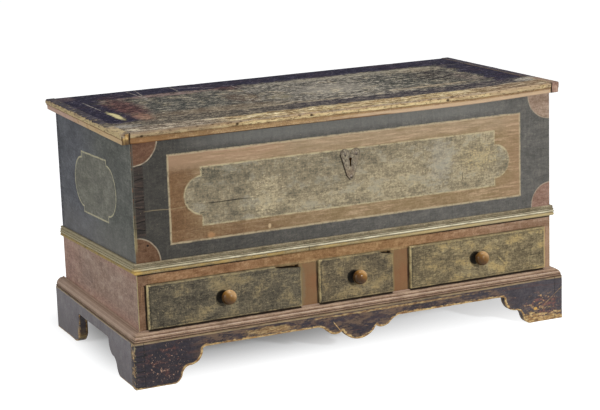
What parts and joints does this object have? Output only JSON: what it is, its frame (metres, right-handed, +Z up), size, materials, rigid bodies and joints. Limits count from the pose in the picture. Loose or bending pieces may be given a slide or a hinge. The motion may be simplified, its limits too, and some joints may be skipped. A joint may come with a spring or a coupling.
{
  "type": "mule chest",
  "caption": "Dovetailed lift-top chest over a row of lipped drawers, on a scrolled bracket base with a pendant; hinged lid, inner till, lock and turned knobs.",
  "frame": {"origin": "centre of the bounding box at floor level", "axes": "+X along the front from the chest's left end to its right end as one faces it, +Y from the front to the back, +Z up"},
  "size_m": [1.286, 0.6874, 0.6673],
  "materials": {
    "painted_case": "old blue-grey and brown paint, worn matt",
    "painted_lid": "dark paint worn through to grey wood",
    "painted_drawer": "mottled olive-grey paint over yellow pine, worn edges",
    "painted_base": "purple-black paint with worn yellow edges",
    "worn_moulding": "thin red-brown paint rubbed to bare wood",
    "bare_wood": "unpainted aged pine",
    "turned_knob": "brown varnish, glossy from handling",
    "forged_iron": "dark forged iron with light rust"
  },
  "bodies": {
    "chest": {"front_board": "painted_case", "side_board_left": "painted_case", "side_board_right": "painted_case", "drawer_rail": "painted_case", "divider_left": "painted_case", "divider_right": "painted_case", "back_board_upper": "bare_wood", "back_board_lower": "bare_wood", "chest_floor": "bare_wood", "drawer_deck": "bare_wood", "partition_left": "bare_wood", "partition_right": "bare_wood", "drawer_guides": "bare_wood", "glue_blocks": "bare_wood", "till_front": "bare_wood", "till_bottom": "bare_wood", "bracket_front": "painted_base", "bracket_left": "painted_base", "bracket_right": "painted_base", "bracket_rear_left": "painted_base", "bracket_rear_right": "painted_base", "base_moulding_front": "worn_moulding", "base_moulding_left": "worn_moulding", "base_moulding_right": "worn_moulding", "waist_moulding_front": "worn_moulding", "waist_moulding_left": "worn_moulding", "waist_moulding_right": "worn_moulding", "escutcheon": "forged_iron", "escutcheon_nails": "forged_iron", "lock_case": "forged_iron", "hinge_leaf_left": "forged_iron", "hinge_leaf_right": "forged_iron", "hinge_pins": "forged_iron"},
    "lid": {"lid_board": "painted_lid", "lid_moulding_front": "worn_moulding", "lid_moulding_left": "worn_moulding", "lid_moulding_right": "worn_moulding", "lid_staple": "forged_iron", "hinge_strap_left": "forged_iron", "hinge_strap_right": "forged_iron"},
    "lock_bolt": {"lock_bolt": "forged_iron"},
    "drawer_left": {"drawer_left_front": "painted_drawer", "drawer_left_side_left": "bare_wood", "drawer_left_side_right": "bare_wood", "drawer_left_back": "bare_wood", "drawer_left_bottom": "bare_wood", "drawer_left_knob": "turned_knob"},
    "drawer_middle": {"drawer_middle_front": "painted_drawer", "drawer_middle_side_left": "bare_wood", "drawer_middle_side_right": "bare_wood", "drawer_middle_back": "bare_wood", "drawer_middle_bottom": "bare_wood", "drawer_middle_knob": "turned_knob"},
    "drawer_right": {"drawer_right_front": "painted_drawer", "drawer_right_side_left": "bare_wood", "drawer_right_side_right": "bare_wood", "drawer_right_back": "bare_wood", "drawer_right_bottom": "bare_wood", "drawer_right_knob": "turned_knob"}
  },
  "joints": [
    {"name": "lid_hinge", "type": "hinge", "parent": "chest", "child": "lid", "pos_m": [0, 0.32765, 0.645], "axis": [-1, 0, 0], "range_deg": [0, 100]},
    {"name": "drawer_left_slide", "type": "slide", "parent": "chest", "child": "drawer_left", "axis": [0, -1, 0], "range_m": [0, 0.42]},
    {"name": "drawer_middle_slide", "type": "slide", "parent": "chest", "child": "drawer_middle", "axis": [0, -1, 0], "range_m": [0, 0.42]},
    {"name": "drawer_right_slide", "type": "slide", "parent": "chest", "child": "drawer_right", "axis": [0, -1, 0], "range_m": [0, 0.42]},
    {"name": "lock_bolt_slide", "type": "slide", "parent": "chest", "child": "lock_bolt", "axis": [1, 0, 0], "range_m": [0, 0.016]}
  ]
}
